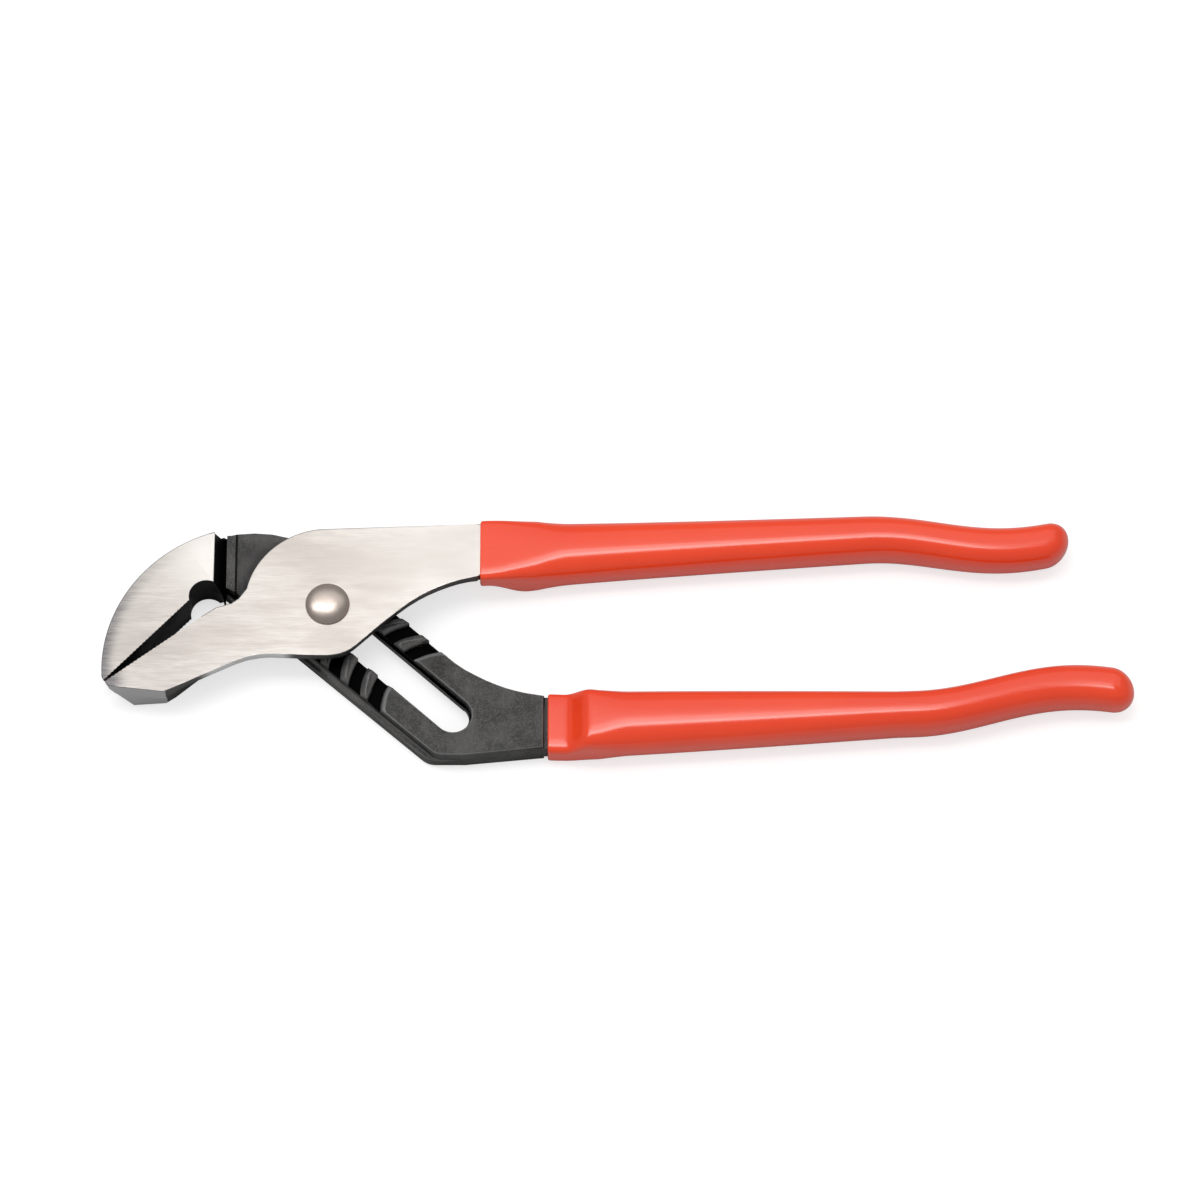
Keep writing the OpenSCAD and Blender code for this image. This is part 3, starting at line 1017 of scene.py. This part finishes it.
@dataclass
class DippedGrip:
    """One dipped grip: rounded sections swept along the handle's middle line, in millimetres.

    Attributes:
        name, node, body: the piece's name, the CAD node it stands for and its body.
        first, full, last: the X of the mouth, of the grip's full width and of the end.
        y_start, y_full: the middle line's Y at the mouth and at the full width.
        rise: the middle line's rise from there, in mm a mm.
        wave, wave_x, wave_reach: the height, place and half length of its hill or dip.
        half_start, half_full: half the width at the mouth and at the full width.
        z_start: the lowest and highest Z at the mouth.
        ramp: the range of X over which the mouth's thickness becomes the handle's.
        taper: how late the width tapers, above 1 for later.
        slim, slim_x: half the width at the end of the taper, and the X of it.
        mid_z: the handle's middle height.
        thick, end_thick: the handle's thickness, and that at its end.
        lip_x, lip_share: the lip's sections, by their distance from the mouth and their size.
        body_from: the distance from the mouth past which the full sections start.
        box, oval: the sections' exponent at the mouth and on the handle.
        box_run: how far past the full width the exponent falls.
        sides, sections, cap_sections: points round a section, sections along the grip and
            over its end.
        start_share: where the first of these sections lies, as a share of the grip's length.
        cap_share, cap_turn: the end's length beside slim, and the last section's angle.
    """

    name: str
    node: str
    body: Body
    first: float
    full: float
    last: float
    y_start: float
    y_full: float
    rise: float
    wave: float
    wave_x: float
    wave_reach: float
    half_start: float
    half_full: float
    z_start: Span
    ramp: Span
    taper: float
    slim: float = 5.2
    slim_x: float = 140.0
    mid_z: float = 6.2
    thick: float = 12.4
    end_thick: float = 10.8
    lip_x: tuple[float, ...] = (0.0, 0.0, 0.12, 0.35, 0.7)
    lip_share: tuple[float, ...] = (0.62, 0.93, 0.975, 0.993, 1.0)
    body_from: float = 0.9
    box: float = 7.0
    oval: float = 2.7
    box_run: float = 8.0
    sides: int = 96
    sections: int = 170
    cap_sections: int = 22
    start_share: float = 0.015
    cap_share: float = 1.05
    cap_turn: float = 86.0

    def widened(self, x: np.ndarray) -> np.ndarray:
        """How far X has come from the mouth to the full width: 0 at the mouth, 1 there."""
        return (x - self.first) / (self.full - self.first)

    def middle(self, x: np.ndarray) -> np.ndarray:
        """The middle line's Y: a straight rise with one cosine hill or dip near the end.

        Args:
            x: places along the grip.

        Returns:
            The Y at each.
        """
        line = mix(self.y_start, self.y_full, self.widened(x))
        return (line + np.maximum(0, x - self.full) * self.rise
                + self.wave * bump((x - self.wave_x) / self.wave_reach))

    def half_width(self, x: np.ndarray) -> np.ndarray:
        """Half the width seen from above: widening from the mouth, then tapering as run ^ taper.

        Args:
            x: places along the grip.

        Returns:
            Half the width at each.
        """
        wide = mix(self.half_start, self.half_full, self.widened(x))
        run = np.clip((x - self.full) / (self.slim_x - self.full), 0, 1)
        return np.where(x < self.full, wide, mix(self.half_full, self.slim, run ** self.taper))

    def levels(self, x: np.ndarray) -> tuple[np.ndarray, np.ndarray]:
        """The lowest and highest Z: the mouth's thickness easing into the handle's.

        Args:
            x: places along the grip.

        Returns:
            The lowest and the highest Z at each.
        """
        thinner = ease((x - self.slim_x) / (self.last - self.slim_x))
        half = self.thick / 2 - (self.thick - self.end_thick) / 2 * thinner
        t = ease((x - self.ramp[0]) / (self.ramp[1] - self.ramp[0]))
        low = self.z_start[0] + (self.mid_z - half - self.z_start[0]) * t
        high = self.z_start[1] + (self.mid_z + half - self.z_start[1]) * t
        return low, high

    def stations(self) -> tuple[np.ndarray, np.ndarray]:
        """The sections along the grip: a rolled lip, the handle, and an end of a quarter turn.

        Returns:
            The X of each section, and its size as a share of the full section.
        """
        cap = self.slim * self.cap_share
        run = np.linspace(self.start_share, 1, self.sections) * (self.last - cap - self.first)
        run = run[run > self.body_from] + self.first
        turn = np.radians(np.linspace(0, self.cap_turn, self.cap_sections)[1:])
        x = np.concatenate([self.first + np.array(self.lip_x), run,
                            self.last - cap + cap * np.sin(turn)])
        return x, np.concatenate([self.lip_share, np.ones(len(run)), np.cos(turn)])

    def rings(self) -> np.ndarray:
        """Superellipse sections |y/w|^n + |z/h|^n = 1, with n falling from box to oval.

        Returns:
            (n, sides, 3) points in metres.
        """
        x, share = self.stations()
        rounded = ease((x - self.first) / (self.full + self.box_run - self.first))
        power = 2 / (self.box + (self.oval - self.box) * rounded)[:, None]
        a = np.linspace(0, 2 * np.pi, self.sides, endpoint=False)
        c, d = np.cos(a), np.sin(a)
        across = np.sign(c) * np.abs(c) ** power
        up = np.sign(d) * np.abs(d) ** power
        low, high = self.levels(x)
        y = self.middle(x)[:, None] + (share * self.half_width(x))[:, None] * across
        z = ((low + high) / 2)[:, None] + (share * (high - low) / 2)[:, None] * up
        return np.stack([np.broadcast_to(x[:, None], y.shape), y, z], -1) * MM

    def build(self, finish: Material) -> Piece:
        """Makes the grip in place of its CAD node."""
        return place(tube_mesh(self.name, self.rings()), finish, self.body, self.node)


@dataclass
class PivotHardware:
    """The rivet and the washer under its tail, in millimetres.

    Attributes:
        shank_r: the shank's radius.
        tail_r, tail_t: the riveted tail's radius and thickness.
        tail_round, tail_bevel: the rounding of its lower edge and the bevel of its upper one.
        tail_mid: the rounding's middle point, in from the radius and up from the bottom.
        foot_r: the radius inside which a fan closes the tail.
        dome_r, dome_h, dome_z: the head's radius and height, and the height of its underside.
        roll, roll_turn: the radius of the head's rolled rim, and the angles it runs between.
        crown_z: the crown's lowest height above the underside.
        crown_turn: the angles whose cosines give the crown's radii, from the rim inwards.
        crown_out, crown_up: the exponents of the crown's curve.
        roll_steps, crown_steps: points on the rim and on the crown.
        washer_in, washer_r, washer_t: the washer's radii and thickness.
        seat: the gap between tail and washer.
        chamfer: the washer's chamfer.
        rivet_sides, washer_sides: points round each.
        rivet_crease, washer_crease: the angles past which shading breaks, in radians.
    """

    shank_r: float = 4.0
    tail_r: float = 5.6
    tail_t: float = 1.6
    tail_round: float = 0.3
    tail_bevel: float = 0.1
    tail_mid: Span = (0.08, 0.09)
    foot_r: float = 0.2
    dome_r: float = 5.45
    dome_h: float = 2.3
    dome_z: float = 11.83
    roll: float = 0.22
    roll_turn: Span = (-90.0, 50.0)
    crown_z: float = 0.35
    crown_turn: Span = (12.0, 89.0)
    crown_out: float = 2.3
    crown_up: float = 0.62
    roll_steps: int = 9
    crown_steps: int = 32
    washer_in: float = 4.05
    washer_r: float = 6.3
    washer_t: float = 0.9
    seat: float = 0.03
    chamfer: float = 0.12
    rivet_sides: int = 128
    washer_sides: int = 96
    rivet_crease: float = math.radians(50)
    washer_crease: float = math.radians(30)

    def rivet_profile(self) -> np.ndarray:
        """Tail, shank, the head's underside, its rolled rim and a crown h (1 - (r/R)^out)^up.

        Returns:
            (n, 2) points of radius and height in metres, from the tail to the crown.
        """
        turn = np.radians(np.linspace(*self.roll_turn, self.roll_steps))
        edge = np.stack([self.dome_r + self.roll * (np.cos(turn) - 1),
                         self.dome_z + self.roll * (np.sin(turn) + 1)], -1)
        share = np.cos(np.radians(np.linspace(*self.crown_turn, self.crown_steps)))
        rise = (1 - share ** self.crown_out) ** self.crown_up
        crown = self.dome_z + self.crown_z + (self.dome_h - self.crown_z) * rise
        cap = np.stack([self.dome_r * share, crown], -1)
        foot = np.array([
            [self.foot_r, 0.0], [self.tail_r - self.tail_round, 0.0],
            [self.tail_r - self.tail_mid[0], self.tail_mid[1]], [self.tail_r, self.tail_round],
            [self.tail_r, self.tail_t - self.tail_bevel],
            [self.tail_r - self.tail_bevel, self.tail_t],
            [self.shank_r, self.tail_t], [self.shank_r, self.dome_z]])
        return np.concatenate([foot, edge, cap]) * MM

    def washer_mesh(self) -> Mesh:
        """A ring with small chamfers: a closed eight-sided section, turned round the pivot.

        Returns:
            The mesh, closed by the turn.
        """
        low, high = self.tail_t + self.seat, self.tail_t + self.seat + self.washer_t
        inner, outer, c = self.washer_in, self.washer_r, self.chamfer
        section = np.array([
            [inner, low + c], [inner + c, low], [outer - c, low], [outer, low + c],
            [outer, high - c], [outer - c, high], [inner + c, high], [inner, high - c]])
        points = lathe_rings(section, self.washer_sides).transpose(1, 0, 2) * MM
        m = len(section)
        k, i = np.meshgrid(np.arange(self.washer_sides), np.arange(m), indexing="ij")
        after, beside = (k + 1) % self.washer_sides, (i + 1) % m
        corners = [k * m + i, after * m + i, after * m + beside, k * m + beside]
        quads = np.stack(corners, -1).reshape(-1, 4)
        mesh = bpy.data.meshes.new("tail_washer")
        mesh.from_pydata(points.reshape(-1, 3).tolist(), [], quads.tolist())
        shade_smooth(mesh)
        mesh.set_sharp_from_angle(angle=self.washer_crease)
        return mesh

    def build(self, finish: Material) -> None:
        """Makes both pieces in place of their CAD nodes.

        Args:
            finish: the metal of both.
        """
        rivet = tube_mesh("domed_rivet", lathe_rings(self.rivet_profile(), self.rivet_sides))
        rivet.set_sharp_from_angle(angle=self.rivet_crease)
        place(rivet, finish, Body.PIVOT, "pivot_rivet")
        place(self.washer_mesh(), finish, Body.PIVOT, "rivet_washer")


@dataclass(frozen=True)
class Softbox:
    """A soft rectangular lamp above the tool: its place and size in metres, its power in watts."""

    name: str
    spot: Triple
    size: Span
    power: float

    def build(self) -> None:
        """Makes the lamp, turned about X only, to face the line of the handles."""
        data = bpy.data.lights.new(self.name, "AREA")
        data.shape = "RECTANGLE"
        data.size, data.size_y = self.size
        data.energy = self.power
        lamp = bpy.data.objects.new(self.name, data)
        lamp.location = self.spot
        lamp.rotation_mode = "QUATERNION"
        beam = Vector((self.spot[0], 0, 0)) - Vector(self.spot)
        lamp.rotation_quaternion = beam.to_track_quat("-Z", "Y")
        bpy.context.scene.collection.objects.link(lamp)


@dataclass
class Studio:
    """The white sweep, the soft lamps and the camera of the photograph.

    Attributes:
        wide: the width that the camera sees at its aim, in millimetres.
        aim: the point it looks at, in millimetres.
        elevation: its height above the horizon, in degrees.
        lens, sensor: its focal length and sensor width, in millimetres.
        clip: the nearest and farthest distance that it sees, in metres.
        reach, floor_z: half the floor's side, and its height, in metres.
        floor_colour, floor_rough, floor_specular: the floor as the lamps light it.
        floor_glow: how much it glows to the camera alone.
        sky, sky_gloss: the world's strength as a light, and in reflections.
        softboxes: the lamps.
    """

    wide: float = 296.2
    aim: Triple = (67.25, 1.2, 11.8)
    elevation: float = 66.3
    lens: float = 210.0
    sensor: float = 36.0
    clip: Span = (0.05, 50.0)
    reach: float = 6.0
    floor_z: float = -0.2 * MM
    floor_colour: Triple = (0.52, 0.52, 0.52)
    floor_rough: float = 0.9
    floor_specular: float = 0.1
    floor_glow: float = 0.64
    sky: float = 0.75
    sky_gloss: float = 0.33
    softboxes: tuple[Softbox, ...] = (
        Softbox("softbox_middle", (-0.45, 0.22, 1.25), (1.5, 0.38), 4.8),
        Softbox("softbox_edge", (-0.45, 0.105, 1.25), (1.5, 0.19), 2.5),
        Softbox("softbox_far_side", (0.067, 0.75, 1.15), (2.4, 0.85), 2.9),
    )

    def camera(self) -> None:
        """A long lens above the tool, leaning towards the lower handle."""
        data = bpy.data.cameras.new("photo_camera")
        data.lens = self.lens
        data.sensor_width = self.sensor
        data.clip_start, data.clip_end = self.clip
        e = math.radians(self.elevation)
        back = Vector((0.0, -math.cos(e), math.sin(e)))
        eye = bpy.data.objects.new("photo_camera", data)
        eye.location = Vector(self.aim) * MM + back * (self.wide * MM * self.lens / self.sensor)
        eye.rotation_mode = "QUATERNION"
        eye.rotation_quaternion = (-back).to_track_quat("-Z", "Y")
        bpy.context.scene.collection.objects.link(eye)
        bpy.context.scene.camera = eye

    def white_world(self) -> None:
        """A world that is white to the camera, plain as a light and darker in reflections."""
        world = bpy.data.worlds.new("white_world")
        bpy.context.scene.world = world
        world.use_nodes = True
        world.node_tree.nodes.clear()
        s = Sketch(world.node_tree)
        path = s.add("ShaderNodeLightPath").outputs
        seen = s.calc("MAXIMUM", path["Is Camera Ray"], path["Is Transmission Ray"])
        dimmer = s.times(path["Is Glossy Ray"], self.sky - self.sky_gloss)
        level = s.calc("MAXIMUM", seen, s.calc("SUBTRACT", self.sky, dimmer))
        light = s.add("ShaderNodeBackground")
        s.join(level, light.inputs["Strength"])
        s.join(light.outputs[0], s.add("ShaderNodeOutputWorld").inputs[0])

    def floor(self) -> None:
        """A wide floor that the camera sees nearly white, with the tool's soft shadow kept."""
        mesh = bpy.data.meshes.new("floor")
        r, z = self.reach, self.floor_z
        mesh.from_pydata([(-r, -r, z), (r, -r, z), (r, r, z), (-r, r, z)], [], [(0, 1, 2, 3)])
        floor = bpy.data.objects.new("floor", mesh)
        bpy.context.scene.collection.objects.link(floor)
        material, s, shader = new_finish("white_sweep")
        shader.inputs["Base Color"].default_value = (*self.floor_colour, 1.0)
        shader.inputs["Roughness"].default_value = self.floor_rough
        shader.inputs["Specular IOR Level"].default_value = self.floor_specular
        shader.inputs["Emission Color"].default_value = (1.0, 1.0, 1.0, 1.0)
        seen = s.add("ShaderNodeLightPath").outputs["Is Camera Ray"]
        s.join(s.times(seen, self.floor_glow), shader.inputs["Emission Strength"])
        mesh.materials.append(material)

    def build(self) -> None:
        """Makes the whole studio."""
        self.camera()
        self.white_world()
        self.floor()
        for softbox in self.softboxes:
            softbox.build()
        bpy.context.scene.view_settings.view_transform = "Standard"


FRONT_ARM = ForgedArm(
    "front_arm", Body.FRONT, Slot.FRONT_STEEL,
    GroundSteel("front_ground_steel", FRONT_PATCHES, (PAINTED_SHADE, FRONT_PAINTED_HIGHLIGHT, FRONT_TIP)),
    draft=0.95 * MM)
REAR_ARM = ForgedArm(
    "rear_arm", Body.REAR, Slot.REAR_STEEL,
    GroundSteel("rear_ground_steel", REAR_PATCHES, (PAINTED_SHADE, REAR_PAINTED_HIGHLIGHT, REAR_TIP)),
    crisp_to=22.8 * MM)
UPPER_GRIP = DippedGrip(
    "upper_dipped_grip", "upper_grip", Body.FRONT, first=37.6, full=52.0, last=183.7,
    y_start=14.8, y_full=15.6, rise=0.053, wave=-4.75, wave_x=169.0, wave_reach=36.0,
    half_start=8.0, half_full=7.9, z_start=(6.4, 12.43), ramp=(39.0, 50.0), taper=0.68)
LOWER_GRIP = DippedGrip(
    "lower_dipped_grip", "lower_grip", Body.REAR, first=54.4, full=67.0, last=198.8,
    y_start=-29.4, y_full=-29.8, rise=0.0362, wave=5.65, wave_x=183.0, wave_reach=38.0,
    half_start=7.9, half_full=7.9, z_start=(0.0, 7.1), ramp=(58.2, 65.4), taper=1.25)


def main() -> None:
    """Builds every piece and the studio."""
    logging.basicConfig(level=logging.INFO, format="%(message)s")
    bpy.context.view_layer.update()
    groups = EffectGroups.build()
    for arm in (FRONT_ARM, REAR_ARM):
        arm.build(groups)
    vinyl = DippedVinyl().make()
    for grip in (UPPER_GRIP, LOWER_GRIP):
        grip.build(vinyl)
    PivotHardware().build(NickelSatin().make(groups))
    Studio().build()


if __name__ == "__main__":
    main()
